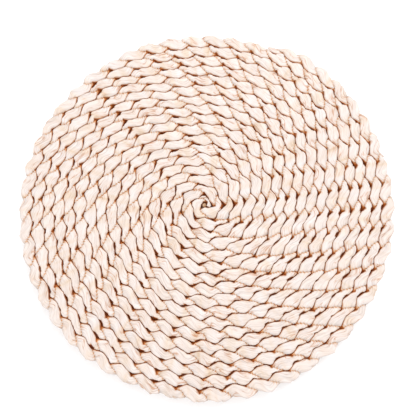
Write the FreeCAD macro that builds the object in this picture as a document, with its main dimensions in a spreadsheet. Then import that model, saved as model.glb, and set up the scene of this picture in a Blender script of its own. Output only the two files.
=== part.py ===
"""A round seat pad of plaited corn husk.

Three husk strands are plaited together, and the plait stands on its edge and winds outwards in a flat
spiral round a small start knot. A thread in the grooves of the underside sews each turn to the next.
Sizes are in millimetres. The pad rests on Z = 0, with the origin at the centre of its underside.
"""
import FreeCAD, Part
import math
import os

TURN = 2 * math.pi
STRANDS = ("a", "b", "c")

doc = FreeCAD.newDocument("husk_seat_pad")
sheet = doc.addObject("Spreadsheet::Sheet", "Sizes")


# ---------------------------------------------------------------- driving sizes
SIZES = [
    ("pad_diameter", 400, "mean diameter of the rim"),
    ("pad_height", 20, "height of the plait standing on its edge"),
    ("plait_pitch", 11.55, "distance from one turn to the next"),
    ("turn_gap", 0.5, "gap between neighbouring turns"),
    ("leaf_length", 24.2, "distance from one leaf of the plait to the next"),
    ("strand_thickness", 6, "thickness of a strand where it lies over an edge of the plait"),
    ("strand_gap", 0.3, "gap between neighbouring strands"),
    ("lengths_per_strand", 16, "husk lengths that each strand is divided into"),
    ("start_width", 3, "width of the plait where it leaves the knot"),
    ("tail_width", 4, "width of the plait where it ends"),
    ("tail_length", 40, "length over which the tail thins"),
    ("tail_angle", 50, "direction of the tail's end, from the X axis, in degrees"),
    ("knot_diameter", 4.4, "diameter of the start knot's core"),
    ("knot_set_in", 1.5, "how far the core stops short of the pad's top and underside"),
    ("knot_wrap", 0.8, "thickness of the strip bound round the core"),
    ("binding_set_in", 4.5, "how far that strip stops short of the top and underside"),
    ("knot_gap", 0.3, "gap between the knot and the plait"),
    ("thread_diameter", 0.7, "diameter of the sewing thread"),
    ("thread_height", 0.9, "height of the thread's centre above the underside"),
]
for row, (alias, value, meaning) in enumerate(SIZES, start=1):
    sheet.set(f"A{row}", alias)
    sheet.set(f"B{row}", str(value))
    sheet.setAlias(f"B{row}", alias)
    sheet.set(f"C{row}", meaning)
doc.recompute()


def size(alias):
    return float(sheet.get(alias))


# ---------------------------------------------------------------- the plait's path
PLAIT_HALF = (size("plait_pitch") - size("turn_gap")) / 2
EDGE_HALF = size("pad_height") / 2
LAY = 3 * size("leaf_length")                    # a strand is back in its place after three leaves
CREST = EDGE_HALF - size("strand_thickness") / 2   # a strand swings this far up and down,
SWAY = (size("plait_pitch") - size("strand_thickness")) / 2  # and this far in and out
KNOT_RADIUS = size("knot_diameter") / 2 + size("knot_wrap")
CORE = KNOT_RADIUS + size("knot_gap")
GROWTH = size("plait_pitch") / TURN
RIM = size("pad_diameter") / 2 - PLAIT_HALF + size("plait_pitch") / 2

START_RADIUS = CORE + size("start_width") - PLAIT_HALF
TURNING = (RIM - START_RADIUS) / GROWTH
START_ANGLE = math.radians(size("tail_angle")) - TURNING

STATIONS_PER_LAY = 24   # sections of a strand in one lay of the plait
RING = 10               # points round one section
ROUNDNESS = 4           # a higher power gives the strands' sections squarer corners
LIGHT_CREST = 0.4       # share by which a strand gives way to the others where it lies over an edge


def plait_room(turning, left):
    """Inner and outer radius that the plait may fill, and its height as a share of the pad's."""
    middle = START_RADIUS + GROWTH * turning
    inner = max(CORE, middle - PLAIT_HALF)
    outer = middle + PLAIT_HALF
    thin = min(1, left / size("tail_length"))
    end_share = size("tail_width") / (2 * PLAIT_HALF)
    share = end_share + (1 - end_share) * math.sin(thin * math.pi / 2)
    return inner, inner + (outer - inner) * share, 0.5 + 0.5 * share


def walk_spiral():
    """Stations along the plait: (turning, distance along the plait)."""
    step = LAY / STATIONS_PER_LAY
    turning = 0
    travelled = 0
    stations = []
    while turning < TURNING:
        stations.append((turning, travelled))
        inner, outer, _ = plait_room(turning, size("tail_length"))
        turning += step / ((inner + outer) / 2)
        travelled += step
    stations.append((TURNING, travelled))
    return stations


STATIONS = walk_spiral()
PLAIT_LENGTH = STATIONS[-1][1]


# ---------------------------------------------------------------- the strands
def strand_centre(phase):
    """Where a strand lies in the plait's section: across it, and up from its middle."""
    return SWAY * math.sin(2 * phase), CREST * math.cos(phase)


def strand_weight(phase):
    return 1 - LIGHT_CREST * math.cos(phase) ** 2


def strand_reach(direction, here, others):
    """How far a strand's section reaches: it fills the room that its neighbours leave it."""
    across, up = math.cos(direction), math.sin(direction)
    x, z = strand_centre(here)
    walls = [
        across / (PLAIT_HALF - x),
        -across / (PLAIT_HALF + x),
        up / (EDGE_HALF - z),
        -up / (EDGE_HALF + z),
    ]
    for other in others:
        other_x, other_z = strand_centre(other)
        apart = math.hypot(other_x - x, other_z - z)
        share = strand_weight(here) / (strand_weight(here) + strand_weight(other))
        room = share * apart - size("strand_gap") / 2
        towards = (across * (other_x - x) + up * (other_z - z)) / apart
        walls.append(towards / room)
    return sum(max(0, wall) ** ROUNDNESS for wall in walls) ** (-1 / ROUNDNESS)


def strand_section(strand, station):
    """Points round one strand's section, in the pad's own frame."""
    turning, travelled = station
    phases = [TURN * (travelled / LAY + k / 3) for k in range(3)]
    here = phases[strand]
    others = phases[:strand] + phases[strand + 1:]
    inner, outer, tall = plait_room(turning, PLAIT_LENGTH - travelled)
    x, z = strand_centre(here)
    heading = START_ANGLE + turning
    ring = []
    for k in range(RING):
        direction = TURN * k / RING
        reach = strand_reach(direction, here, others)
        across = x + reach * math.cos(direction)
        up = z + reach * math.sin(direction)
        radius = (inner + outer) / 2 + across * (outer - inner) / (2 * PLAIT_HALF)
        ring.append(FreeCAD.Vector(radius * math.cos(heading), radius * math.sin(heading),
                                   EDGE_HALF + up * tall))
    return ring


def end_face(wall, section):
    """The flat face that closes a wall at the end nearest to a section."""
    rims = [edge for edge in wall.Edges if not edge.isSeam(wall)]
    rim = min(rims, key=lambda edge: edge.Vertexes[0].Point.distanceToPoint(section[0]))
    return Part.Face(Part.Wire([rim]))


def strand_solid(sections):
    """A closed solid whose skin is one smooth surface through the sections, with flat ends."""
    columns = []
    steps = [float(k) for k in range(len(sections))]
    for k in range(RING):
        curve = Part.BSplineCurve()
        curve.interpolate(Points=[ring[k] for ring in sections], Parameters=steps)
        columns.append(curve)
    poles = [list(row) for row in zip(*(curve.getPoles() for curve in columns))]
    skin = Part.BSplineSurface()
    skin.buildFromPolesMultsKnots(
        poles,
        columns[0].getMultiplicities(),
        [1] * (RING + 1),
        columns[0].getKnots(),
        [float(k) for k in range(RING + 1)],
        False,
        True,
        3,
        3,
    )
    last = len(sections) - 1
    cuts = [k for k in range(0, last, STATIONS_PER_LAY) if last - k > STATIONS_PER_LAY / 2] + [last]
    walls = []
    for start, end in zip(cuts, cuts[1:]):
        stretch = skin.copy()
        stretch.segment(start, end, 0, RING)
        walls.append(stretch.toShape().Faces[0])
    ends = [end_face(walls[0], sections[0]), end_face(walls[-1], sections[-1])]
    shell = Part.Shell(walls + ends)
    shell.sewShape()
    return Part.Solid(shell)


def make_strands():
    """Each strand is many husks laid in one after another, divided here into equal turnings."""
    shapes = {}
    count = int(size("lengths_per_strand"))
    bounds = []
    for cut in range(count + 1):
        aim = TURNING * cut / count
        bounds.append(min(range(len(STATIONS)), key=lambda k: abs(STATIONS[k][0] - aim)))
    for strand, letter in enumerate(STRANDS):
        sections = [strand_section(strand, station) for station in STATIONS]
        for part in range(count):
            run = sections[bounds[part]:bounds[part + 1] + 1]
            shapes[f"strand_{letter}_length_{part + 1:02d}"] = strand_solid(run)
    return shapes


# ---------------------------------------------------------------- the sewing thread
def spiral_point(turning, radius, height):
    heading = START_ANGLE + turning
    return FreeCAD.Vector(radius * math.cos(heading), radius * math.sin(heading), height)


def make_thread():
    """One thread in the groove between the turns, made of half circles that join smoothly."""
    half_turns = int((TURNING - TURN) / math.pi)
    height = size("thread_height")
    edges = []
    for k in range(1, half_turns):
        turning = k * math.pi
        radius = START_RADIUS + GROWTH * turning + size("plait_pitch") / 2
        grown = radius + size("plait_pitch") / 2
        bulge = (radius + grown) / 2
        start = spiral_point(turning, radius, height)
        end = spiral_point(turning + math.pi, grown, height)
        top = (start + end) / 2 + spiral_point(turning + math.pi / 2, bulge, 0)
        edges.append(Part.Arc(start, top, end).toShape())
    path = Part.Wire(edges)
    along = edges[0].tangentAt(edges[0].FirstParameter)
    section = Part.Wire(Part.makeCircle(size("thread_diameter") / 2, edges[0].Vertexes[0].Point, along))
    return path.makePipeShell([section], True, False)


# ---------------------------------------------------------------- the start knot
def make_knot():
    """The strands' ends stand upright in a core, with a strip of husk bound round it."""
    core = doc.addObject("Part::Cylinder", "knot_core")
    core.setExpression("Radius", "Sizes.knot_diameter / 2")
    core.setExpression("Height", "Sizes.pad_height - 2 * Sizes.knot_set_in")

    outside = doc.addObject("Part::Cylinder", "binding_outside")
    outside.setExpression("Radius", "Sizes.knot_diameter / 2 + Sizes.knot_wrap")
    outside.setExpression("Height", "Sizes.pad_height - 2 * Sizes.binding_set_in")
    inside = doc.addObject("Part::Cylinder", "binding_inside")
    inside.setExpression("Radius", "Sizes.knot_diameter / 2")
    inside.setExpression("Height", "Sizes.pad_height - 2 * Sizes.binding_set_in")
    binding = doc.addObject("Part::Cut", "knot_binding")
    binding.Label = "knot_binding"
    binding.Base = outside
    binding.Tool = inside
    return core, binding


# ---------------------------------------------------------------- putting the pad together
def add_solid(name, shape):
    """A document object that holds a shape made in code."""
    piece = doc.addObject("Part::Feature", name)
    piece.Label = name
    piece.Shape = shape
    return piece


pieces = [add_solid(name, shape) for name, shape in make_strands().items()]
around = FreeCAD.BoundBox()
for piece in pieces:
    around.add(piece.Shape.optimalBoundingBox(False, False))
to_origin = FreeCAD.Vector(-around.Center.x, -around.Center.y, -around.ZMin)

pieces.append(add_solid("sewing_thread", make_thread()))
for piece in pieces:
    piece.Placement = FreeCAD.Placement(to_origin, FreeCAD.Rotation())

for piece, set_in in zip(make_knot(), ("knot_set_in", "binding_set_in")):
    foot = FreeCAD.Vector(0, 0, size(set_in))
    piece.Placement = FreeCAD.Placement(to_origin + foot, FreeCAD.Rotation())
    pieces.append(piece)
doc.recompute()

for thing in doc.Objects:
    if "Invalid" in thing.State or "Error" in thing.State:
        raise RuntimeError(f"{thing.Label} could not be made")
for piece in pieces:
    if piece.Shape.isNull() or not piece.Shape.isValid() or len(piece.Shape.Solids) != 1:
        raise RuntimeError(f"{piece.Label} is not one sound solid")

os.makedirs("parts", exist_ok=True)
for piece in pieces:
    piece.Shape.exportStep(f"parts/{piece.Label}.step")
    print(f"{piece.Label}: {piece.Shape.Volume / 1000:.1f} cm3")
print(f"{TURNING / TURN:.2f} turns, {PLAIT_LENGTH / 1000:.2f} m of plait")
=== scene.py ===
import bisect
import math

import bpy
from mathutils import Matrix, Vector


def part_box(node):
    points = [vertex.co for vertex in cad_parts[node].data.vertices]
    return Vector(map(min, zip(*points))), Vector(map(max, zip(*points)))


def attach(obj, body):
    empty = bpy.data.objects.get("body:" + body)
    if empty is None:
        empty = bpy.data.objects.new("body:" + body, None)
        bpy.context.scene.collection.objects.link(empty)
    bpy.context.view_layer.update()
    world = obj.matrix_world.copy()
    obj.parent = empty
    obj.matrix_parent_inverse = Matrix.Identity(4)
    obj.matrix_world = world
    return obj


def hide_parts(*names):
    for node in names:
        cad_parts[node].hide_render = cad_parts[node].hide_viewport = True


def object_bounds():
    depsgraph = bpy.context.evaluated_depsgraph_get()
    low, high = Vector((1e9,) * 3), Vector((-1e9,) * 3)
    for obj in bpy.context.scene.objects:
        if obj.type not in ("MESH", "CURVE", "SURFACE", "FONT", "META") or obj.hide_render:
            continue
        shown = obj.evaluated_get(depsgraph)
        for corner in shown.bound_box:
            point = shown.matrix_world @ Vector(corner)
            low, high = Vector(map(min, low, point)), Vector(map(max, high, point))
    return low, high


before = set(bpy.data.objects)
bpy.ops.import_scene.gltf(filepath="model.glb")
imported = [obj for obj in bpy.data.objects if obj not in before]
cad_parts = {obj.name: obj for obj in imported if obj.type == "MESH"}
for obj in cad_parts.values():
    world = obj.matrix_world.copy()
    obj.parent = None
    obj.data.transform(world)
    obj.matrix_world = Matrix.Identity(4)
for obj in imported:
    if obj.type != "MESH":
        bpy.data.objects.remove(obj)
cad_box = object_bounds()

# ---------------------------------------------------------------- the plait's path
# Three husk strands are plaited together, and the plait is stood on its edge and wound outwards from a small
# knot in a flat spiral. Each turn lies against the one before it, and the plait's end is thinned and
# tucked in.
MM = 0.001
TURN = 2 * math.pi
PITCH = 11.55 * MM
TURN_GAP = 0.5 * MM
LEAF_LENGTH = 24.2 * MM          # from one leaf of the plait to the next
LEAVES_PER_LAY = 3               # a strand is back in its place after three leaves
STRAND_THICKNESS = 6 * MM
START_WIDTH = 3 * MM
TAIL_WIDTH = 4 * MM
TAIL_LENGTH = 40 * MM
TAIL_ANGLE = math.radians(50)
KNOT_GAP = 0.3 * MM
RIM_DIAMETER = 400 * MM
LENGTHS_PER_STRAND = 16
STEP = 2.2 * MM                  # between two sections of a strand
WALK_STEPS = 4                   # steps of the walk in one such section

knot_low, knot_high = (Vector(corner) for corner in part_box("knot_binding"))
PAD_MIDDLE = (knot_low + knot_high) / 2
CORE = (knot_high.x - knot_low.x) / 2 + KNOT_GAP
EDGE_HALF = (cad_box[1][2] - cad_box[0][2]) / 2
PLAIT_HALF = (PITCH - TURN_GAP) / 2
LAY = LEAVES_PER_LAY * LEAF_LENGTH
SWAY = (PITCH - STRAND_THICKNESS) / 2
CREST = EDGE_HALF - STRAND_THICKNESS / 2
GROWTH = PITCH / TURN
START_RADIUS = CORE + START_WIDTH - PLAIT_HALF
TURNING = (RIM_DIAMETER / 2 - PLAIT_HALF + PITCH / 2 - START_RADIUS) / GROWTH
START_ANGLE = TAIL_ANGLE - TURNING


def plait_room(turning, left):
    """Inner and outer radius that the plait may fill, and its height as a share of the pad's."""
    middle = START_RADIUS + GROWTH * turning
    inner = max(CORE, middle - PLAIT_HALF)
    thin = min(1, left / TAIL_LENGTH)
    end_share = TAIL_WIDTH / (2 * PLAIT_HALF)
    share = end_share + (1 - end_share) * math.sin(thin * math.pi / 2)
    return inner, inner + (middle + PLAIT_HALF - inner) * share, (1 + share) / 2


def walk_spiral():
    """Sections along the plait, as lists of the angle turned and the distance travelled."""
    turned, travelled = [0], [0]
    step = STEP / WALK_STEPS
    steps = 0
    turning = 0
    while turning < TURNING:
        inner, outer, _ = plait_room(turning, TAIL_LENGTH)
        turning += step / ((inner + outer) / 2)
        steps += 1
        if steps % WALK_STEPS == 0:
            turned.append(turning)
            travelled.append(steps * step)
    turned[-1] = TURNING
    return turned, travelled


TURNED, TRAVELLED = walk_spiral()
PLAIT_LENGTH = TRAVELLED[-1]


def travelled_at(turning):
    """Distance along the plait at an angle, also where the spiral would run on past its ends."""
    if turning <= 0:
        return (CORE + START_WIDTH / 2) * turning
    if turning >= TURNING:
        return PLAIT_LENGTH + (START_RADIUS + GROWTH * turning) * (turning - TURNING)
    k = min(bisect.bisect_right(TURNED, turning), len(TURNED) - 1)
    share = (turning - TURNED[k - 1]) / (TURNED[k] - TURNED[k - 1])
    return TRAVELLED[k - 1] + share * (TRAVELLED[k] - TRAVELLED[k - 1])


def line_of_points(name, points, rows):
    """An object that is a line through points, with a row of numbers for each attribute named."""
    mesh = bpy.data.meshes.new(name)
    mesh.from_pydata(points, [(k, k + 1) for k in range(len(points) - 1)], [])
    for key, values in rows.items():
        mesh.attributes.new(key, "FLOAT", "POINT").data.foreach_set("value", values)
    made = bpy.data.objects.new(name, mesh)
    bpy.context.collection.objects.link(made)
    return made


def spine(name, first, last):
    """A line along the plait that carries what the strands' sections need to know at each point."""
    rows = {key: [] for key in ("heading", "travelled", "inner", "outer", "tall", "inside", "outside", "rim")}
    points = []
    for k in range(first, last + 1):
        inner, outer, tall = plait_room(TURNED[k], PLAIT_LENGTH - TRAVELLED[k])
        heading = START_ANGLE + TURNED[k]
        middle = (inner + outer) / 2
        points.append((middle * math.cos(heading), middle * math.sin(heading), 0))
        rows["heading"].append(heading)
        rows["travelled"].append(TRAVELLED[k])
        rows["inner"].append(inner)
        rows["outer"].append(outer)
        rows["tall"].append(tall)
        rows["inside"].append(travelled_at(TURNED[k] - TURN))
        last_turn = TURNED[k] + TURN > TURNING
        rows["outside"].append(TRAVELLED[k] if last_turn else travelled_at(TURNED[k] + TURN))
        rows["rim"].append(float(last_turn))
    return line_of_points(name, points, rows)


# ---------------------------------------------------------------- the husk material
# The strands are torn strips of corn husk, the dry inner leaves of maize cobs, bleached cream and folded
# lengthways while damp. Husk is matt, with fine veins along it, and thin enough to let warm light through.
# It looks orange and brown where strips overlap and deep in the gaps between them. That shade is painted into
# the colour here, with a painted brown glow in the gaps.
HUSK_PALE = "E9DFDB"
HUSK_CREAM = "E6D7CE"
HUSK_STRAW = "E2CEBD"
HUSK_TAN = "D0B08E"
NO_TINT = "FFFFFF"
# Colours of the painted shade deep in the gaps; the brown is also the painted glow's colour.
PAINTED_HOLLOW_STRAW = "FBD4A6"
PAINTED_HOLLOW_TAN = "DC8A3E"
PAINTED_HOLLOW_BROWN = "8E4612"
# Tan of the creases: partly painted shade in folds, partly the colour of split husk.
CREASE_TAN = "CF9560"
BLOTCH = 7 * MM                  # across the strip; blotches are twice as long along it
BLOTCH_CHANGE = 0.30             # how far a blotch moves the colour from pale to tan
VEIN_SPACING = 0.9 * MM          # real veins are about 0.4 mm apart, drawn coarser so that they show
VEIN_RUN = 24 * MM
VEIN_DARK = 0.73                 # how bright the darkest vein is, as a share of the brightest
CREASE_SPACING = 3.5 * MM
CREASE_RUN = 30 * MM
CREASE_WIDE = 0.035              # how far from the noise's middle value a crease's line has faded out
# Strength of the painted brown glow in the hollows.
PAINTED_GLOW_STRENGTH = 0.22


def linear(hex_colour):
    """A colour written as sRGB hex, as the linear values that a shader takes."""
    parts = [int(hex_colour[k:k + 2], 16) / 255 for k in (0, 2, 4)]
    return [p / 12.92 if p <= 0.04045 else ((p + 0.055) / 1.055) ** 2.4 for p in parts] + [1]


def add(tree, kind, links=None, out=0, **settings):
    """Adds a node with its settings, fills its inputs with values or links, and gives back one output.

    An input goes by its name, or by its number where a node has several of one name.
    """
    node = tree.nodes.new(kind)
    for name, value in settings.items():
        setattr(node, name, value)
    for name, value in (links or {}).items():
        if isinstance(value, bpy.types.NodeSocket):
            tree.links.new(value, node.inputs[name])
        else:
            node.inputs[name].default_value = value
    return node.outputs[out] if node.outputs else None


def colour_stops(output, stops):
    """Sets a colour ramp's stops, given as (position, hex colour)."""
    elements = output.node.color_ramp.elements
    while len(elements) < len(stops):
        elements.new(0.5)
    for element, (position, colour) in zip(elements, stops):
        element.position = position
        element.color = linear(colour)


def bleached_corn_husk(name, stops):
    """Bleached plaited corn husk: matt, veined lengthways, with painted shade that turns it browner where it
    dips out of the light, and a painted glow there.
    """
    material = bpy.data.materials.new(name)
    material.use_nodes = True
    tree = material.node_tree
    tree.nodes.clear()
    run = add(tree, "ShaderNodeAttribute", out="Vector", attribute_name="husk_run")
    tone = add(tree, "ShaderNodeAttribute", out="Fac", attribute_name="husk_tone")
    painted_hollow = add(tree, "ShaderNodeAttribute", out="Fac", attribute_name="husk_painted_hollow")

    # The strip's own colour, from pale cream to tan, blotched a little.
    blotch_place = add(tree, "ShaderNodeMapping",
                       {"Vector": run, "Scale": (0.5 / BLOTCH, 1 / BLOTCH, 1)})
    blotch = add(tree, "ShaderNodeTexNoise", {"Vector": blotch_place, "Scale": 1, "Detail": 2})
    uneven = add(tree, "ShaderNodeMath", {0: blotch, 1: BLOTCH_CHANGE, 2: -BLOTCH_CHANGE / 2},
                 operation="MULTIPLY_ADD")
    shade = add(tree, "ShaderNodeMath", {0: tone, 1: uneven}, operation="ADD")
    strip = add(tree, "ShaderNodeValToRGB", {"Fac": shade})
    colour_stops(strip, stops)

    # Veins: noise that is narrow across the strip and long along it.
    vein_place = add(tree, "ShaderNodeMapping",
                     {"Vector": run, "Scale": (1 / VEIN_RUN, 1 / VEIN_SPACING, 1)})
    veins = add(tree, "ShaderNodeTexNoise",
                {"Vector": vein_place, "Scale": 1, "Detail": 4, "Roughness": 0.65})
    vein_dark = add(tree, "ShaderNodeMapRange", {0: veins, 1: 0.30, 2: 0.60, 3: VEIN_DARK, 4: 1.0})
    veined = add(tree, "ShaderNodeMix", {0: 1.0, 6: strip, 7: vein_dark}, out=2,
                 data_type="RGBA", blend_type="MULTIPLY")

    # Creases: a few tan lines along a strip, painted shade where it was folded and the browner husk where it
    # has split. A line runs where the noise crosses its middle value, and shows only in patches.
    crease_place = add(tree, "ShaderNodeMapping",
                       {"Vector": run, "Location": (3.7, 1.9, 0.0),
                        "Scale": (1 / CREASE_RUN, 1 / CREASE_SPACING, 1)})
    crease = add(tree, "ShaderNodeTexNoise", {"Vector": crease_place, "Scale": 1, "Detail": 2})
    off_line = add(tree, "ShaderNodeMath", {0: crease, 1: 0.5}, operation="SUBTRACT")
    off_line = add(tree, "ShaderNodeMath", {0: off_line}, operation="ABSOLUTE")
    patchy = add(tree, "ShaderNodeTexNoise", {"Vector": blotch_place, "Scale": 0.8, "Detail": 1})
    creased = add(tree, "ShaderNodeMapRange", {0: patchy, 1: 0.50, 2: 0.62, 3: 0.0, 4: 0.75})
    line = add(tree, "ShaderNodeMapRange", {0: off_line, 1: 0.0, 2: CREASE_WIDE, 3: 1.0, 4: 0.0})
    line = add(tree, "ShaderNodeMath", {0: line, 1: creased}, operation="MULTIPLY")
    veined = add(tree, "ShaderNodeMix", {0: line, 6: veined, 7: linear(CREASE_TAN)}, out=2,
                 data_type="RGBA", blend_type="MULTIPLY")

    # Painted shade: deep in the gaps the colour is multiplied by orange and brown, standing in for light that
    # has passed through husk many times.
    painted_shade = add(tree, "ShaderNodeValToRGB", {"Fac": painted_hollow})
    colour_stops(painted_shade, [(0.0, NO_TINT), (0.25, PAINTED_HOLLOW_STRAW), (0.62, PAINTED_HOLLOW_TAN), (1.0, PAINTED_HOLLOW_BROWN)])
    colour = add(tree, "ShaderNodeMix", {0: 1.0, 6: veined, 7: painted_shade}, out=2,
                 data_type="RGBA", blend_type="MULTIPLY")

    # Painted glow: a weak brown emission in the hollows stands in for light that comes through the thin husk
    # from all round, and keeps them from going black.
    glow = add(tree, "ShaderNodeMath", {0: painted_hollow, 1: PAINTED_GLOW_STRENGTH}, operation="MULTIPLY")

    bump = add(tree, "ShaderNodeBump", {"Strength": 0.8, "Distance": 0.25 * MM, "Height": veins})
    rough = add(tree, "ShaderNodeMapRange", {0: veins, 1: 0.3, 2: 0.7, 3: 0.62, 4: 0.5})
    husk = add(tree, "ShaderNodeBsdfPrincipled",
               {"Base Color": colour, "Roughness": rough, "IOR": 1.45, "Normal": bump,
                "Sheen Weight": 0.15, "Sheen Roughness": 0.4,
                "Emission Color": linear(PAINTED_HOLLOW_BROWN), "Emission Strength": glow})
    add(tree, "ShaderNodeOutputMaterial", {"Surface": husk})
    return material


HUSK = bleached_corn_husk("Bleached plaited corn husk",
                          [(0.28, HUSK_PALE), (0.52, HUSK_CREAM), (0.68, HUSK_STRAW), (0.84, HUSK_TAN)])


# ---------------------------------------------------------------- the strands
# Each strand is a soft rope of husk strips, folded and laid in one after another. It swings up over one edge
# of the plait, dives between the other two, and comes round the lower edge, so that each pass over the top
# shows as one slanting leaf. Leaves press against those of the next turn and leave small dark gaps.
RING_POINTS = 32
STRAND_PRESS = 0.9 * MM          # how far two strands of the plait press into each other
TURN_PRESS = 0.1 * MM            # how far two turns press into each other
LIGHT_CREST = 0.40               # share by which a strand gives way where it lies over an edge
LEAST_ROOM = 0.5 * MM            # a strand keeps at least this much between its middle and a wall
THINNEST = 0.4 * MM              # half of the least thickness that folds and ribs leave
ZIGZAG = 5.0 * MM                # how far the line between two turns swings in and out
OUTER_LEADS = 0.8                # share of that line's shape that the outer of the two turns decides
STEP_BACK = 0.42                 # share of a leaf over which that line steps back inwards
NOTCH = 1.9 * MM                 # usual opening in that line where it steps back; the widest is twice this
NOTCH_SHARE = 0.20               # share of a leaf that the opening takes on each side of the step
NOTCH_RUN = 16 * MM              # distance over which the openings grow and close
RIM_SWELL = 1.2 * MM             # leaves of the last turn have no neighbour to press them flat
WANDER = 1.6 * MM                # how far the turns stray from a true spiral
WANDER_RUN = 34 * MM
JOSTLE = 1.7 * MM                # how far single leaves are pushed out of line
JOSTLE_RUN = 12 * MM
FOLD_HEIGHT = 0.55 * MM          # step at a strip's folded edge
FOLDS_ROUND = 4
FOLD_RUN = 45 * MM               # distance over which the folds wander round the strand
FOLD_DRIFT = 4.0                 # by how many folds they wander
RIB_HEIGHT = 0.30 * MM
RIB_RUN = 26 * MM
RIBS_ROUND = 2.2
STRIP_RUN = 21 * MM              # distance over which the strips' tone changes
GIRTH_RADIUS = 4.2 * MM          # a strand's usual radius, which sets the width of its veins
PAINTED_SHADE_FROM, PAINTED_SHADE_TO = 1.0 * MM, 5.0 * MM     # depths over which painted shade turns the husk brown
SEED = 4.0


def strands_in_section(tree, given, travelled):
    """Where the three strands lie in the plait's section, this one first, and how hard each one presses."""
    lays = add(tree, "ShaderNodeMath", {0: travelled, 1: given["Lay"]}, operation="DIVIDE")
    centres, weights = [], []
    for step in range(3):
        number = add(tree, "ShaderNodeMath", {0: given["Strand"], 1: float(step)}, operation="ADD")
        number = add(tree, "ShaderNodeMath", {0: number, 1: 3.0}, operation="FLOORED_MODULO")
        share = add(tree, "ShaderNodeMath", {0: number, 1: 1 / 3, 2: lays}, operation="MULTIPLY_ADD")
        phase = add(tree, "ShaderNodeMath", {0: share, 1: TURN}, operation="MULTIPLY")
        double = add(tree, "ShaderNodeMath", {0: phase, 1: 2.0}, operation="MULTIPLY")
        swing = add(tree, "ShaderNodeMath", {0: double}, operation="SINE")
        rise = add(tree, "ShaderNodeMath", {0: phase}, operation="COSINE")
        # Each pass over an edge has its own thickness: noise that changes about once in a leaf.
        own_seed = add(tree, "ShaderNodeMath", {0: number, 1: 17.3, 2: given["Seed"]},
                       operation="MULTIPLY_ADD")
        place = add(tree, "ShaderNodeMath", {0: share, 1: 2.6, 2: own_seed}, operation="MULTIPLY_ADD")
        fullness = add(tree, "ShaderNodeTexNoise", {"W": place, "Scale": 1.0, "Detail": 1.0},
                       noise_dimensions="1D")
        lift = add(tree, "ShaderNodeMapRange", {0: fullness, 1: 0.3, 2: 0.7, 3: 0.86, 4: 1.05}, clamp=False)
        rise = add(tree, "ShaderNodeMath", {0: rise, 1: lift}, operation="MULTIPLY")
        x = add(tree, "ShaderNodeMath", {0: swing, 1: given["Sway"]}, operation="MULTIPLY")
        z = add(tree, "ShaderNodeMath", {0: rise, 1: given["Crest"]}, operation="MULTIPLY")
        centres.append(add(tree, "ShaderNodeCombineXYZ", {"X": x, "Z": z}))
        eased = add(tree, "ShaderNodeMath", {0: rise, 1: rise}, operation="MULTIPLY")
        eased = add(tree, "ShaderNodeMath", {0: eased, 1: given["Light Crest"]}, operation="MULTIPLY")
        firm = add(tree, "ShaderNodeMapRange", {0: fullness, 1: 0.3, 2: 0.7, 3: 0.70, 4: 1.30}, clamp=False)
        weights.append(add(tree, "ShaderNodeMath", {0: firm, 1: eased}, operation="SUBTRACT"))
    return centres, weights


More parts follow.
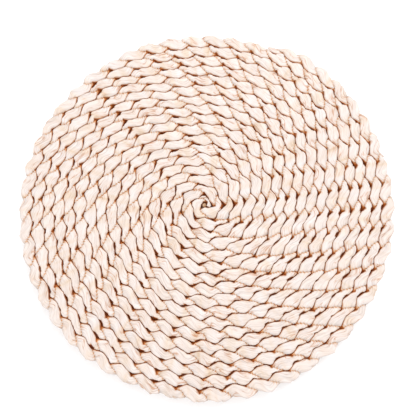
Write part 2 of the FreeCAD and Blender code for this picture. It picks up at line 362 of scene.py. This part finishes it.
def walls_of_turn(tree, given, told, upward, z):
    """How far the turn is shifted outwards by its neighbours' leaves, and how far its walls are from it.

    The line between two turns is a zigzag that follows the leaves of the outer turn more than those of the
    inner one, as the outer turn is laid on last. It leans outwards along a leaf and steps back at the next.
    """
    saws = {}
    for name in ("travelled", "outside", "inside"):
        leaves = add(tree, "ShaderNodeMath", {0: told[name], 1: given["Lay"]}, operation="DIVIDE")
        leaves = add(tree, "ShaderNodeMath", {0: leaves, 1: float(LEAVES_PER_LAY), 2: STEP_BACK / 2 - 0.5},
                     operation="MULTIPLY_ADD")
        passed = add(tree, "ShaderNodeMath", {0: leaves}, operation="FRACT")
        down = add(tree, "ShaderNodeMath", {0: passed, 1: -1 / STEP_BACK, 2: 0.5}, operation="MULTIPLY_ADD")
        back = add(tree, "ShaderNodeMath", {0: passed, 1: STEP_BACK}, operation="SUBTRACT")
        back = add(tree, "ShaderNodeMath", {0: back, 1: 1 / (1 - STEP_BACK), 2: -0.5},
                   operation="MULTIPLY_ADD")
        saws[name] = add(tree, "ShaderNodeMath", {0: down, 1: back, 2: 0.25}, operation="SMOOTH_MAX")
        if name == "travelled":
            own_passed = passed
    swings = []
    for inner_turn, outer_turn in (("travelled", "outside"), ("inside", "travelled")):
        swing = add(tree, "ShaderNodeMath", {0: saws[inner_turn], 1: 1 - OUTER_LEADS}, operation="MULTIPLY")
        swing = add(tree, "ShaderNodeMath", {0: saws[outer_turn], 1: OUTER_LEADS, 2: swing},
                    operation="MULTIPLY_ADD")
        swings.append(add(tree, "ShaderNodeMath", {0: swing, 1: given["Zigzag"]}, operation="MULTIPLY"))
    outer_swing, inner_swing = swings
    shift = add(tree, "ShaderNodeMath", {0: outer_swing, 1: inner_swing}, operation="ADD")
    shift = add(tree, "ShaderNodeMath", {0: shift, 1: 0.5}, operation="MULTIPLY")
    swell = add(tree, "ShaderNodeMath", {0: outer_swing, 1: inner_swing}, operation="SUBTRACT")
    wall = add(tree, "ShaderNodeMath", {0: swell, 1: 0.5, 2: given["Half Width"]}, operation="MULTIPLY_ADD")

    # Small openings at the corners of leaves, near the pad's two faces only: husk is thick in between.
    corner = add(tree, "ShaderNodeMath", {0: own_passed, 1: 0.5}, operation="SUBTRACT")
    corner = add(tree, "ShaderNodeMath", {0: corner}, operation="ABSOLUTE")
    opening = add(tree, "ShaderNodeMapRange", {0: corner, 1: 0.5 - NOTCH_SHARE, 2: 0.5, 3: 0.0, 4: 1.0})
    loose_place = add(tree, "ShaderNodeMath", {0: told["travelled"], 1: 1 / NOTCH_RUN, 2: given["Seed"]},
                      operation="MULTIPLY_ADD")
    loose = add(tree, "ShaderNodeTexNoise", {"W": loose_place, "Scale": 1.0, "Detail": 1.0},
                noise_dimensions="1D")
    loose = add(tree, "ShaderNodeMapRange", {0: loose, 1: 0.38, 2: 0.66, 3: 0.0, 4: 2.0})
    loose = add(tree, "ShaderNodeMath", {0: loose, 1: given["Notch"]}, operation="MULTIPLY")
    notch = add(tree, "ShaderNodeMath", {0: opening, 1: loose}, operation="MULTIPLY")
    face_height = add(tree, "ShaderNodeMath", {0: upward, 1: 3 * MM, 2: z}, operation="MULTIPLY_ADD")
    face_height = add(tree, "ShaderNodeMath", {0: face_height}, operation="ABSOLUTE")
    near_face = add(tree, "ShaderNodeMapRange", {0: face_height, 1: 3.5 * MM, 2: 7 * MM, 3: 0.0, 4: 1.0})
    notch = add(tree, "ShaderNodeMath", {0: notch, 1: near_face}, operation="MULTIPLY")
    return shift, add(tree, "ShaderNodeMath", {0: wall, 1: notch}, operation="SUBTRACT")


def reach_of_skin(tree, given, centres, weights, wall, across, upward, x, z):
    """How far the strand's skin is from its middle: it stops before the nearest wall or neighbour."""
    right_room = add(tree, "ShaderNodeMath", {0: wall, 1: x}, operation="SUBTRACT")
    left_room = add(tree, "ShaderNodeMath", {0: wall, 1: x}, operation="ADD")
    right_room = add(tree, "ShaderNodeMath", {0: right_room, 1: LEAST_ROOM}, operation="MAXIMUM")
    left_room = add(tree, "ShaderNodeMath", {0: left_room, 1: LEAST_ROOM}, operation="MAXIMUM")
    top_room = add(tree, "ShaderNodeMath", {0: given["Half Height"], 1: z}, operation="SUBTRACT")
    low_room = add(tree, "ShaderNodeMath", {0: given["Half Height"], 1: z}, operation="ADD")
    right = add(tree, "ShaderNodeMath", {0: across, 1: right_room}, operation="DIVIDE")
    left = add(tree, "ShaderNodeMath", {0: across, 1: left_room}, operation="DIVIDE")
    left = add(tree, "ShaderNodeMath", {0: left, 1: -1.0}, operation="MULTIPLY")
    top = add(tree, "ShaderNodeMath", {0: upward, 1: top_room}, operation="DIVIDE")
    low = add(tree, "ShaderNodeMath", {0: upward, 1: low_room}, operation="DIVIDE")
    low = add(tree, "ShaderNodeMath", {0: low, 1: -1.0}, operation="MULTIPLY")
    looking = add(tree, "ShaderNodeCombineXYZ", {"X": across, "Z": upward})
    half_press = add(tree, "ShaderNodeMath", {0: given["Press"], 1: 0.5}, operation="MULTIPLY")
    near = []
    for other in (1, 2):
        towards = add(tree, "ShaderNodeVectorMath", {0: centres[other], 1: centres[0]}, operation="SUBTRACT")
        apart = add(tree, "ShaderNodeVectorMath", {0: towards}, out="Value", operation="LENGTH")
        both = add(tree, "ShaderNodeMath", {0: weights[0], 1: weights[other]}, operation="ADD")
        share = add(tree, "ShaderNodeMath", {0: weights[0], 1: both}, operation="DIVIDE")
        room = add(tree, "ShaderNodeMath", {0: share, 1: apart}, operation="MULTIPLY")
        room = add(tree, "ShaderNodeMath", {0: room, 1: half_press}, operation="ADD")
        facing = add(tree, "ShaderNodeVectorMath", {0: towards, 1: looking}, out="Value",
                     operation="DOT_PRODUCT")
        scale = add(tree, "ShaderNodeMath", {0: apart, 1: room}, operation="MULTIPLY")
        near.append(add(tree, "ShaderNodeMath", {0: facing, 1: scale}, operation="DIVIDE"))
    # A sixth-power mean rounds the corners between them.
    sixths = []
    for trio in ((right, left, top), (low, near[0], near[1])):
        joined = add(tree, "ShaderNodeCombineXYZ", {"X": trio[0], "Y": trio[1], "Z": trio[2]})
        kept = add(tree, "ShaderNodeVectorMath", {0: joined, 1: (0.0, 0.0, 0.0)}, operation="MAXIMUM")
        squared = add(tree, "ShaderNodeVectorMath", {0: kept, 1: kept}, operation="MULTIPLY")
        fourth = add(tree, "ShaderNodeVectorMath", {0: squared, 1: squared}, operation="MULTIPLY")
        sixths.append(add(tree, "ShaderNodeVectorMath", {0: squared, 1: fourth}, out="Value",
                          operation="DOT_PRODUCT"))
    total = add(tree, "ShaderNodeMath", {0: sixths[0], 1: sixths[1]}, operation="ADD")
    return add(tree, "ShaderNodeMath", {0: total, 1: -1 / 6}, operation="POWER")


def folds_and_ribs(tree, given, travelled, direction, across, upward, strand_seed, reach):
    """The reach of the skin with the strips' folded edges and their lengthways ribs."""
    # A step where one strip's edge lies on the next, which wanders slowly round the strand.
    drift_place = add(tree, "ShaderNodeMath", {0: travelled, 1: 1 / FOLD_RUN, 2: strand_seed},
                      operation="MULTIPLY_ADD")
    drift = add(tree, "ShaderNodeTexNoise", {"W": drift_place, "Scale": 1.0, "Detail": 2.0},
                noise_dimensions="1D")
    edge_place = add(tree, "ShaderNodeMath", {0: direction, 1: FOLDS_ROUND / TURN}, operation="MULTIPLY")
    edge_place = add(tree, "ShaderNodeMath", {0: drift, 1: FOLD_DRIFT, 2: edge_place},
                     operation="MULTIPLY_ADD")
    fold = add(tree, "ShaderNodeMath", {0: edge_place}, operation="FRACT")
    fold_lift = add(tree, "ShaderNodeMath", {0: fold, 1: given["Fold Height"]}, operation="MULTIPLY")

    # Noise that is long along the strand and short round it.
    round_x = add(tree, "ShaderNodeMath", {0: across, 1: RIBS_ROUND}, operation="MULTIPLY")
    round_y = add(tree, "ShaderNodeMath", {0: upward, 1: RIBS_ROUND}, operation="MULTIPLY")
    rib_run = add(tree, "ShaderNodeMath", {0: travelled, 1: 1 / RIB_RUN, 2: strand_seed},
                  operation="MULTIPLY_ADD")
    rib_place = add(tree, "ShaderNodeCombineXYZ", {"X": round_x, "Y": round_y, "Z": rib_run})
    ribs = add(tree, "ShaderNodeTexNoise", {"Vector": rib_place, "Scale": 1.6, "Detail": 2.0})
    rib_lift = add(tree, "ShaderNodeMapRange", {0: ribs, 1: 0.3, 2: 0.7, 3: -1.0, 4: 0.4})
    rib_lift = add(tree, "ShaderNodeMath", {0: rib_lift, 1: given["Rib Height"]}, operation="MULTIPLY")
    reach = add(tree, "ShaderNodeMath", {0: reach, 1: fold_lift}, operation="SUBTRACT")
    reach = add(tree, "ShaderNodeMath", {0: reach, 1: rib_lift}, operation="ADD")
    return add(tree, "ShaderNodeMath", {0: reach, 1: THINNEST}, operation="MAXIMUM")


def wound_place(tree, told, over, up):
    """A point of the plait's section in its place on the spiral."""
    width = add(tree, "ShaderNodeMath", {0: told["outer"], 1: told["inner"]}, operation="SUBTRACT")
    squeeze = add(tree, "ShaderNodeMath", {0: width, 1: 2 * PLAIT_HALF}, operation="DIVIDE")
    middle = add(tree, "ShaderNodeMath", {0: told["outer"], 1: told["inner"]}, operation="ADD")
    middle = add(tree, "ShaderNodeMath", {0: middle, 1: 0.5}, operation="MULTIPLY")
    radius = add(tree, "ShaderNodeMath", {0: over, 1: squeeze, 2: middle}, operation="MULTIPLY_ADD")
    cosine = add(tree, "ShaderNodeMath", {0: told["heading"]}, operation="COSINE")
    sine = add(tree, "ShaderNodeMath", {0: told["heading"]}, operation="SINE")
    x = add(tree, "ShaderNodeMath", {0: cosine, 1: radius, 2: PAD_MIDDLE.x}, operation="MULTIPLY_ADD")
    y = add(tree, "ShaderNodeMath", {0: sine, 1: radius, 2: PAD_MIDDLE.y}, operation="MULTIPLY_ADD")
    z = add(tree, "ShaderNodeMath", {0: up, 1: told["tall"], 2: cad_box[0][2] + EDGE_HALF},
            operation="MULTIPLY_ADD")
    return x, y, z


def stray_of_hand_work(tree, given, x, y):
    """How far a place on the pad strays: whole turns wander, and single leaves are jostled.

    It depends on the place alone, so strands and turns that touch stray together.
    """
    place = add(tree, "ShaderNodeCombineXYZ", {"X": x, "Y": y, "Z": 0.0})
    strays = []
    for name, run in (("Wander", WANDER_RUN), ("Jostle", JOSTLE_RUN)):
        noise = add(tree, "ShaderNodeTexNoise", {"Vector": place, "Scale": 1 / run, "Detail": 1.0},
                    out="Color")
        noise = add(tree, "ShaderNodeVectorMath", {0: noise, 1: (0.5, 0.5, 0.5)}, operation="SUBTRACT")
        noise = add(tree, "ShaderNodeVectorMath", {0: noise, 1: (2.0, 2.0, 0.0)}, operation="MULTIPLY")
        strays.append(add(tree, "ShaderNodeVectorMath", {0: noise, "Scale": given[name]}, operation="SCALE"))
    return add(tree, "ShaderNodeVectorMath", {0: strays[0], 1: strays[1]}, operation="ADD")


def husk_strand_tree():
    """Geometry Nodes: turns a spine of the plait into one strand of it."""
    tree = bpy.data.node_groups.new("plaited husk strand", "GeometryNodeTree")
    tree.interface.new_socket("Spine", in_out="INPUT", socket_type="NodeSocketGeometry")
    for name, value in (("Strand", 0.0), ("Half Width", (PITCH + TURN_PRESS) / 2),
                        ("Half Height", EDGE_HALF), ("Sway", SWAY), ("Crest", CREST), ("Lay", LAY),
                        ("Press", STRAND_PRESS), ("Light Crest", LIGHT_CREST), ("Zigzag", ZIGZAG),
                        ("Notch", NOTCH), ("Fold Height", FOLD_HEIGHT), ("Rib Height", RIB_HEIGHT),
                        ("Wander", WANDER), ("Jostle", JOSTLE), ("Seed", SEED)):
        socket = tree.interface.new_socket(name, in_out="INPUT", socket_type="NodeSocketFloat")
        socket.default_value = value
    tree.interface.new_socket("Husk", in_out="INPUT", socket_type="NodeSocketMaterial")
    tree.interface.new_socket("Strand", in_out="OUTPUT", socket_type="NodeSocketGeometry")
    given = tree.nodes.new("NodeGroupInput").outputs

    # A ring of points is carried along the spine; each point knows its direction round the strand. The
    # ring's own radius is never seen, as every point is placed afresh.
    ring = add(tree, "GeometryNodeCurvePrimitiveCircle",
               {"Resolution": RING_POINTS, "Radius": STRAND_THICKNESS / 2})
    index = add(tree, "GeometryNodeInputIndex")
    turn_share = add(tree, "ShaderNodeMath", {0: index, 1: TURN / RING_POINTS}, operation="MULTIPLY")
    ring = add(tree, "GeometryNodeStoreNamedAttribute",
               {"Geometry": ring, "Name": "direction", "Value": turn_share}, data_type="FLOAT")
    path = add(tree, "GeometryNodeMeshToCurve", {"Mesh": given["Spine"]})
    tube = add(tree, "GeometryNodeCurveToMesh", {"Curve": path, "Profile Curve": ring, "Fill Caps": True})
    told = {name: add(tree, "GeometryNodeInputNamedAttribute", {"Name": name}, data_type="FLOAT")
            for name in ("direction", "heading", "travelled", "inner", "outer", "tall", "inside", "outside",
                         "rim")}
    direction, travelled = told["direction"], told["travelled"]
    across = add(tree, "ShaderNodeMath", {0: direction}, operation="COSINE")
    upward = add(tree, "ShaderNodeMath", {0: direction}, operation="SINE")
    strand_seed = add(tree, "ShaderNodeMath", {0: given["Strand"], 1: 31.7, 2: given["Seed"]},
                      operation="MULTIPLY_ADD")

    centres, weights = strands_in_section(tree, given, travelled)
    x = add(tree, "ShaderNodeSeparateXYZ", {0: centres[0]}, out="X")
    z = add(tree, "ShaderNodeSeparateXYZ", {0: centres[0]}, out="Z")
    shift, wall = walls_of_turn(tree, given, told, upward, z)
    reach = reach_of_skin(tree, given, centres, weights, wall, across, upward, x, z)
    reach = folds_and_ribs(tree, given, travelled, direction, across, upward, strand_seed, reach)

    # The point's place in the plait's section, swollen on the rim's open side, and then on the spiral.
    over = add(tree, "ShaderNodeMath", {0: across, 1: reach, 2: x}, operation="MULTIPLY_ADD")
    up = add(tree, "ShaderNodeMath", {0: upward, 1: reach, 2: z}, operation="MULTIPLY_ADD")
    aside = add(tree, "ShaderNodeMapRange", {0: over, 1: 1.0 * MM, 2: 4.0 * MM, 3: 0.0, 4: 1.0})
    aside = add(tree, "ShaderNodeMath", {0: aside, 1: told["rim"]}, operation="MULTIPLY")
    over = add(tree, "ShaderNodeMath", {0: aside, 1: RIM_SWELL, 2: over}, operation="MULTIPLY_ADD")
    over = add(tree, "ShaderNodeMath", {0: over, 1: shift}, operation="ADD")
    place_x, place_y, place_z = wound_place(tree, told, over, up)
    place = add(tree, "ShaderNodeCombineXYZ", {"X": place_x, "Y": place_y, "Z": place_z})
    stray = stray_of_hand_work(tree, given, place_x, place_y)
    strand = add(tree, "GeometryNodeSetPosition", {"Geometry": tube, "Position": place, "Offset": stray})

    # What the husk's colour follows: the run of the strip, each strip's tone, and how deep the point lies,
    # which sets the painted shade and glow in the gaps.
    girth = add(tree, "ShaderNodeMath", {0: direction, 1: GIRTH_RADIUS}, operation="MULTIPLY")
    run = add(tree, "ShaderNodeCombineXYZ", {"X": travelled, "Y": girth, "Z": strand_seed})
    strip_place = add(tree, "ShaderNodeMath", {0: travelled, 1: 1 / STRIP_RUN, 2: strand_seed},
                      operation="MULTIPLY_ADD")
    tone = add(tree, "ShaderNodeTexNoise",
               {"W": strip_place, "Scale": 1.3, "Detail": 3.0, "Roughness": 0.75}, noise_dimensions="1D")
    height = add(tree, "ShaderNodeMath", {0: up}, operation="ABSOLUTE")
    depth = add(tree, "ShaderNodeMath", {0: given["Half Height"], 1: height}, operation="SUBTRACT")
    painted_hollow = add(tree, "ShaderNodeMapRange", {0: depth, 1: PAINTED_SHADE_FROM, 2: PAINTED_SHADE_TO, 3: 0.0, 4: 1.0})
    # The rim's open outer side is left without painted shade.
    covered = add(tree, "ShaderNodeMath", {0: 1.0, 1: aside}, operation="SUBTRACT")
    painted_hollow = add(tree, "ShaderNodeMath", {0: painted_hollow, 1: covered}, operation="MULTIPLY")
    for name, kind, value in (("husk_run", "FLOAT_VECTOR", run), ("husk_tone", "FLOAT", tone),
                              ("husk_painted_hollow", "FLOAT", painted_hollow)):
        strand = add(tree, "GeometryNodeStoreNamedAttribute",
                     {"Geometry": strand, "Name": name, "Value": value}, data_type=kind)
    # The points run the other way round the path than the ring did, so the faces are turned outwards.
    strand = add(tree, "GeometryNodeFlipFaces", {"Mesh": strand})
    strand = add(tree, "GeometryNodeRealizeInstances", {"Geometry": strand})
    strand = add(tree, "GeometryNodeSetMaterial", {"Geometry": strand, "Material": given["Husk"]})
    tree.links.new(strand, tree.nodes.new("NodeGroupOutput").inputs[0])
    return tree


def grown(line_object, tree, values, name):
    """Runs a tree on a line object and keeps the result as a plain mesh object, smooth but for its ends."""
    modifier = line_object.modifiers.new("growth", "NODES")
    modifier.node_group = tree
    for item in tree.interface.items_tree:
        if item.in_out == "INPUT" and item.name in values:
            modifier[item.identifier] = values[item.name]
    seen = line_object.evaluated_get(bpy.context.evaluated_depsgraph_get())
    mesh = bpy.data.meshes.new_from_object(seen)
    mesh.name = name
    for face in mesh.polygons:
        face.use_smooth = len(face.vertices) == 4
    bpy.data.objects.remove(line_object)
    made = bpy.data.objects.new(name, mesh)
    bpy.context.collection.objects.link(made)
    return made


strand_tree = husk_strand_tree()
cuts = [min(bisect.bisect_left(TURNED, TURNING * part / LENGTHS_PER_STRAND), len(TURNED) - 1)
        for part in range(LENGTHS_PER_STRAND + 1)]
for number, letter in enumerate("abc"):
    for part in range(LENGTHS_PER_STRAND):
        name = f"husk_strand_{letter}_{part + 1:02d}"
        path = spine(name + "_spine", cuts[part], cuts[part + 1])
        length = grown(path, strand_tree, {"Strand": float(number), "Husk": HUSK}, name)
        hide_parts(f"strand_{letter}_length_{part + 1:02d}")
        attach(length, "root")

# ---------------------------------------------------------------- the start knot
# The strands' first ends are gathered upright and bound with one strip of husk, wound round them and tucked
# in. This is the oldest, least bleached husk of the pad, so it stays tan, and its ends stand up frayed.
KNOT_BROWN = "C39256"
KNOT_HUSK = bleached_corn_husk("Sun-browned corn husk of the knot",
                               [(0.2, HUSK_STRAW), (0.5, HUSK_TAN), (0.9, KNOT_BROWN)])
CORE_RINGS, CORE_POINTS = 26, 56
CORE_LOBES = 7                   # husk ends in the core
CORE_TURNS = 0.6                 # the ends are twisted together by this much
LOBE_DEPTH = 0.35 * MM
TAPER_SHARE = 0.55               # the core's ends are this share of its width
FRAY = 0.9 * MM                  # by how much the ends differ in height, in the core's top quarter
WRAP_RINGS, WRAP_POINTS = 150, 10
WRAPS = 3.2                      # times that the binding strip goes round
WRAP_THICK = 0.55 * MM
WRAP_LEAN = 0.12 * MM            # each wrap lies partly over the one below it
WRAP_OVERLAP = 1.25              # a strip is this much wider than the wraps are apart
ROW_RUN, COLUMN_RUN = 0.9 * MM, 0.5 * MM        # what one row and one column of a mesh are to its veins


def skinned(name, rings, material):
    """A closed mesh through rings of points, with the run and the tone that the husk material reads."""
    around = len(rings[0])
    points = [point for ring in rings for point in ring]
    faces = [(row * around + k, row * around + (k + 1) % around,
              (row + 1) * around + (k + 1) % around, (row + 1) * around + k)
             for row in range(len(rings) - 1) for k in range(around)]
    last = (len(rings) - 1) * around
    faces.append(tuple(reversed(range(around))))
    faces.append(tuple(range(last, last + around)))
    mesh = bpy.data.meshes.new(name)
    mesh.from_pydata(points, [], faces)
    places = [divmod(k, around) for k in range(len(points))]
    runs = [part for row, column in places for part in (row * ROW_RUN, column * COLUMN_RUN, 0)]
    tones = [0.5 + 0.2 * math.sin(2.1 * column) for row, column in places]
    mesh.attributes.new("husk_run", "FLOAT_VECTOR", "POINT").data.foreach_set("vector", runs)
    mesh.attributes.new("husk_tone", "FLOAT", "POINT").data.foreach_set("value", tones)
    for face in mesh.polygons:
        face.use_smooth = len(face.vertices) == 4
    mesh.materials.append(material)
    made = bpy.data.objects.new(name, mesh)
    bpy.context.collection.objects.link(made)
    return made


core_low, core_high = (Vector(corner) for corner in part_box("knot_core"))
core_radius = (core_high.x - core_low.x) / 2
rings = []
for row in range(CORE_RINGS):
    share = row / (CORE_RINGS - 1)
    taper = min(1, 8 * share + TAPER_SHARE, 8 * (1 - share) + TAPER_SHARE)
    frayed_share = max(0, 4 * share - 3)
    height = core_low.z + (core_high.z - core_low.z) * share
    ring = []
    for k in range(CORE_POINTS):
        angle = TURN * k / CORE_POINTS
        lobe = abs(math.sin(CORE_LOBES / 2 * (angle + CORE_TURNS * TURN * share)))
        radius = (core_radius - LOBE_DEPTH * (1 - lobe)) * taper
        frayed = FRAY / 2 * frayed_share * (math.sin(CORE_LOBES * angle) * lobe - 1)
        ring.append((PAD_MIDDLE.x + radius * math.cos(angle), PAD_MIDDLE.y + radius * math.sin(angle),
                     height + frayed))
    rings.append(ring)
knot_core = skinned("husk_knot_core", rings, KNOT_HUSK)
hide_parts("knot_core")
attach(knot_core, "root")

wrap_outer = (knot_high.x - knot_low.x) / 2
strip_width = (knot_high.z - knot_low.z) / (WRAPS + 1) * WRAP_OVERLAP
rings = []
for row in range(WRAP_RINGS):
    share = row / (WRAP_RINGS - 1)
    angle = WRAPS * TURN * share
    middle = knot_low.z + strip_width / 2 + (knot_high.z - knot_low.z - strip_width) * share
    ring = []
    for k in range(WRAP_POINTS):
        round_strip = TURN * k / WRAP_POINTS
        lean = math.cos(round_strip)
        rise = -math.sin(round_strip)
        radius = wrap_outer - WRAP_THICK / 2 * (1 - lean) - WRAP_LEAN * (1 + rise)
        height = middle + strip_width / 2 * math.copysign(abs(rise) ** 0.5, rise)
        ring.append((PAD_MIDDLE.x + radius * math.cos(angle), PAD_MIDDLE.y + radius * math.sin(angle),
                     height))
    rings.append(ring)
binding = skinned("husk_knot_binding", rings, KNOT_HUSK)
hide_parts("knot_binding")
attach(binding, "root")

# ---------------------------------------------------------------- the sewing thread
# One undyed cotton thread of two plies sews each turn to the next. It lies in the groove of the underside,
# dips in between the turns, and comes down round a husk once in every leaf.
COTTON_DARK = "B49A70"
COTTON_PALE = "DCC8A4"
FIBRE_SPACING = 0.35 * MM
THREAD_WIDE = 0.7 * MM
THREAD_STEP = 1.8 * MM
PLY_THICK = THREAD_WIDE * 0.26   # radius of one ply
PLY_APART = THREAD_WIDE * 0.29   # from the thread's middle to a ply's
PLY_SIDES = 4
PLY_TWIST = 5 * MM               # length of one twist of the two plies
STITCH_DIP = 0.25 * MM
STITCH_SWAY = 2.5 * MM


def undyed_cotton_thread():
    """Undyed twisted cotton: matt, with short fibres that catch the light."""
    material = bpy.data.materials.new("Undyed twisted cotton thread")
    material.use_nodes = True
    tree = material.node_tree
    tree.nodes.clear()
    place = add(tree, "ShaderNodeTexCoord", out="Object")
    fibres = add(tree, "ShaderNodeTexNoise", {"Vector": place, "Scale": 1 / FIBRE_SPACING, "Detail": 3})
    tint = add(tree, "ShaderNodeValToRGB", {"Fac": fibres})
    colour_stops(tint, [(0.3, COTTON_DARK), (0.7, COTTON_PALE)])
    bump = add(tree, "ShaderNodeBump", {"Strength": 0.5, "Distance": 0.08 * MM, "Height": fibres})
    cotton = add(tree, "ShaderNodeBsdfPrincipled",
                 {"Base Color": tint, "Roughness": 0.8, "IOR": 1.5, "Normal": bump,
                  "Sheen Weight": 0.3, "Sheen Roughness": 0.5})
    add(tree, "ShaderNodeOutputMaterial", {"Surface": cotton})
    return material


def twisted_thread_tree():
    """Geometry Nodes: turns the thread's path into two plies twisted round each other."""
    tree = bpy.data.node_groups.new("twisted sewing thread", "GeometryNodeTree")
    tree.interface.new_socket("Path", in_out="INPUT", socket_type="NodeSocketGeometry")
    for name, value in (("Ply Radius", PLY_THICK), ("Ply Apart", PLY_APART), ("Twist Length", PLY_TWIST)):
        socket = tree.interface.new_socket(name, in_out="INPUT", socket_type="NodeSocketFloat")
        socket.default_value = value
    tree.interface.new_socket("Cotton", in_out="INPUT", socket_type="NodeSocketMaterial")
    tree.interface.new_socket("Thread", in_out="OUTPUT", socket_type="NodeSocketGeometry")
    given = tree.nodes.new("NodeGroupInput").outputs
    heading = add(tree, "GeometryNodeInputNamedAttribute", {"Name": "heading"}, data_type="FLOAT")
    travelled = add(tree, "GeometryNodeInputNamedAttribute", {"Name": "travelled"}, data_type="FLOAT")
    twists = add(tree, "ShaderNodeMath", {0: travelled, 1: given["Twist Length"]}, operation="DIVIDE")
    cosine = add(tree, "ShaderNodeMath", {0: heading}, operation="COSINE")
    sine = add(tree, "ShaderNodeMath", {0: heading}, operation="SINE")
    profile = add(tree, "GeometryNodeCurvePrimitiveCircle",
                  {"Resolution": PLY_SIDES, "Radius": given["Ply Radius"]})
    plies = tree.nodes.new("GeometryNodeJoinGeometry")
    for ply in range(2):
        twist = add(tree, "ShaderNodeMath", {0: twists, 1: TURN, 2: ply * math.pi}, operation="MULTIPLY_ADD")
        out = add(tree, "ShaderNodeMath", {0: twist}, operation="COSINE")
        up = add(tree, "ShaderNodeMath", {0: twist}, operation="SINE")
        x = add(tree, "ShaderNodeMath", {0: out, 1: cosine}, operation="MULTIPLY")
        y = add(tree, "ShaderNodeMath", {0: out, 1: sine}, operation="MULTIPLY")
        lean = add(tree, "ShaderNodeCombineXYZ", {"X": x, "Y": y, "Z": up})
        lean = add(tree, "ShaderNodeVectorMath", {0: lean, "Scale": given["Ply Apart"]}, operation="SCALE")
        moved = add(tree, "GeometryNodeSetPosition", {"Geometry": given["Path"], "Offset": lean})
        curve = add(tree, "GeometryNodeMeshToCurve", {"Mesh": moved})
        tube = add(tree, "GeometryNodeCurveToMesh",
                   {"Curve": curve, "Profile Curve": profile, "Fill Caps": True})
        tree.links.new(tube, plies.inputs[0])
    thread = add(tree, "GeometryNodeRealizeInstances", {"Geometry": plies.outputs[0]})
    thread = add(tree, "GeometryNodeSetMaterial", {"Geometry": thread, "Material": given["Cotton"]})
    tree.links.new(thread, tree.nodes.new("NodeGroupOutput").inputs[0])
    return tree


thread_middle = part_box("sewing_thread")[0][2] + THREAD_WIDE / 2
half_turns = int((TURNING - TURN) / math.pi)
rows = {"heading": [], "travelled": []}
points = []
turning, sewn = math.pi, 0
while turning < half_turns * math.pi:
    radius = START_RADIUS + GROWTH * turning + PITCH / 2
    stitch = TURN * travelled_at(turning) / LEAF_LENGTH
    swayed = radius + STITCH_SWAY * max(0, math.sin(stitch)) ** 3
    heading = START_ANGLE + turning
    points.append((PAD_MIDDLE.x + swayed * math.cos(heading), PAD_MIDDLE.y + swayed * math.sin(heading),
                   thread_middle - STITCH_DIP * math.sin(stitch)))
    rows["heading"].append(heading)
    rows["travelled"].append(sewn)
    turning += THREAD_STEP / radius
    sewn += THREAD_STEP
thread_path = line_of_points("thread_path", points, rows)
thread = grown(thread_path, twisted_thread_tree(), {"Cotton": undyed_cotton_thread()}, "cotton_sewing_thread")
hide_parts("sewing_thread")
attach(thread, "root")

# ---------------------------------------------------------------- floor, light and camera
# The pad lies on a plain pale studio floor in even white light. A soft window behind it on the right gives
# the leaves their shading, and a weaker light from the front left opens the shadows.
FLOOR_WHITE = "FCFCFD"
FLOOR_HALF = 3
FLOOR_BELOW = 0.2 * MM           # keeps the floor clear of the lowest leaves
EVEN_LIGHT = 1.04

floor_mesh = bpy.data.meshes.new("floor")
floor_mesh.from_pydata([(-FLOOR_HALF, -FLOOR_HALF, 0), (FLOOR_HALF, -FLOOR_HALF, 0),
                        (FLOOR_HALF, FLOOR_HALF, 0), (-FLOOR_HALF, FLOOR_HALF, 0)], [], [(0, 1, 2, 3)])
floor = bpy.data.objects.new("floor", floor_mesh)
bpy.context.collection.objects.link(floor)
floor.location.z = cad_box[0][2] - FLOOR_BELOW
floor_look = bpy.data.materials.new("Pale matt studio floor")
floor_look.use_nodes = True
floor_shader = floor_look.node_tree.nodes["Principled BSDF"]
floor_shader.inputs["Base Color"].default_value = linear(FLOOR_WHITE)
floor_shader.inputs["Roughness"].default_value = 0.9
floor_mesh.materials.append(floor_look)

world = bpy.data.worlds.new("studio")
world.use_nodes = True
world.node_tree.nodes["Background"].inputs["Color"].default_value = linear("FFFFFF")
world.node_tree.nodes["Background"].inputs["Strength"].default_value = EVEN_LIGHT
bpy.context.scene.world = world


def soft_light(name, place, size, power):
    """A square studio light that faces the pad."""
    lamp = bpy.data.lights.new(name, "AREA")
    lamp.size = size
    lamp.energy = power
    made = bpy.data.objects.new(name, lamp)
    made.location = place
    made.rotation_euler = (-Vector(place)).to_track_quat("-Z", "Y").to_euler()
    bpy.context.collection.objects.link(made)


soft_light("window light", (0.75, 0.85, 1.4), 1.1, 13)
soft_light("fill light", (-1.2, -0.6, 1.6), 1.6, 5)

bpy.context.scene.view_settings.view_transform = "Standard"

LOOKED_AT = Vector((PAD_MIDDLE.x, PAD_MIDDLE.y, cad_box[1][2]))
DISTANCE = 540 * MM
TILT = math.radians(9.6)         # from straight above
SWUNG = math.radians(18)         # round the pad, from its front to its left
lens = bpy.data.cameras.new("camera")
lens.sensor_width = 36
lens.lens = 43.27                # millimetres, as a camera's lens and film are
lens.shift_x = 0.0091
lens.shift_y = -0.0082
camera = bpy.data.objects.new("camera", lens)
away = Vector((-math.sin(TILT) * math.sin(SWUNG), -math.sin(TILT) * math.cos(SWUNG), math.cos(TILT)))
camera.location = LOOKED_AT + away * DISTANCE
camera.rotation_euler = (-away).to_track_quat("-Z", "Y").to_euler()
bpy.context.collection.objects.link(camera)
bpy.context.scene.camera = camera
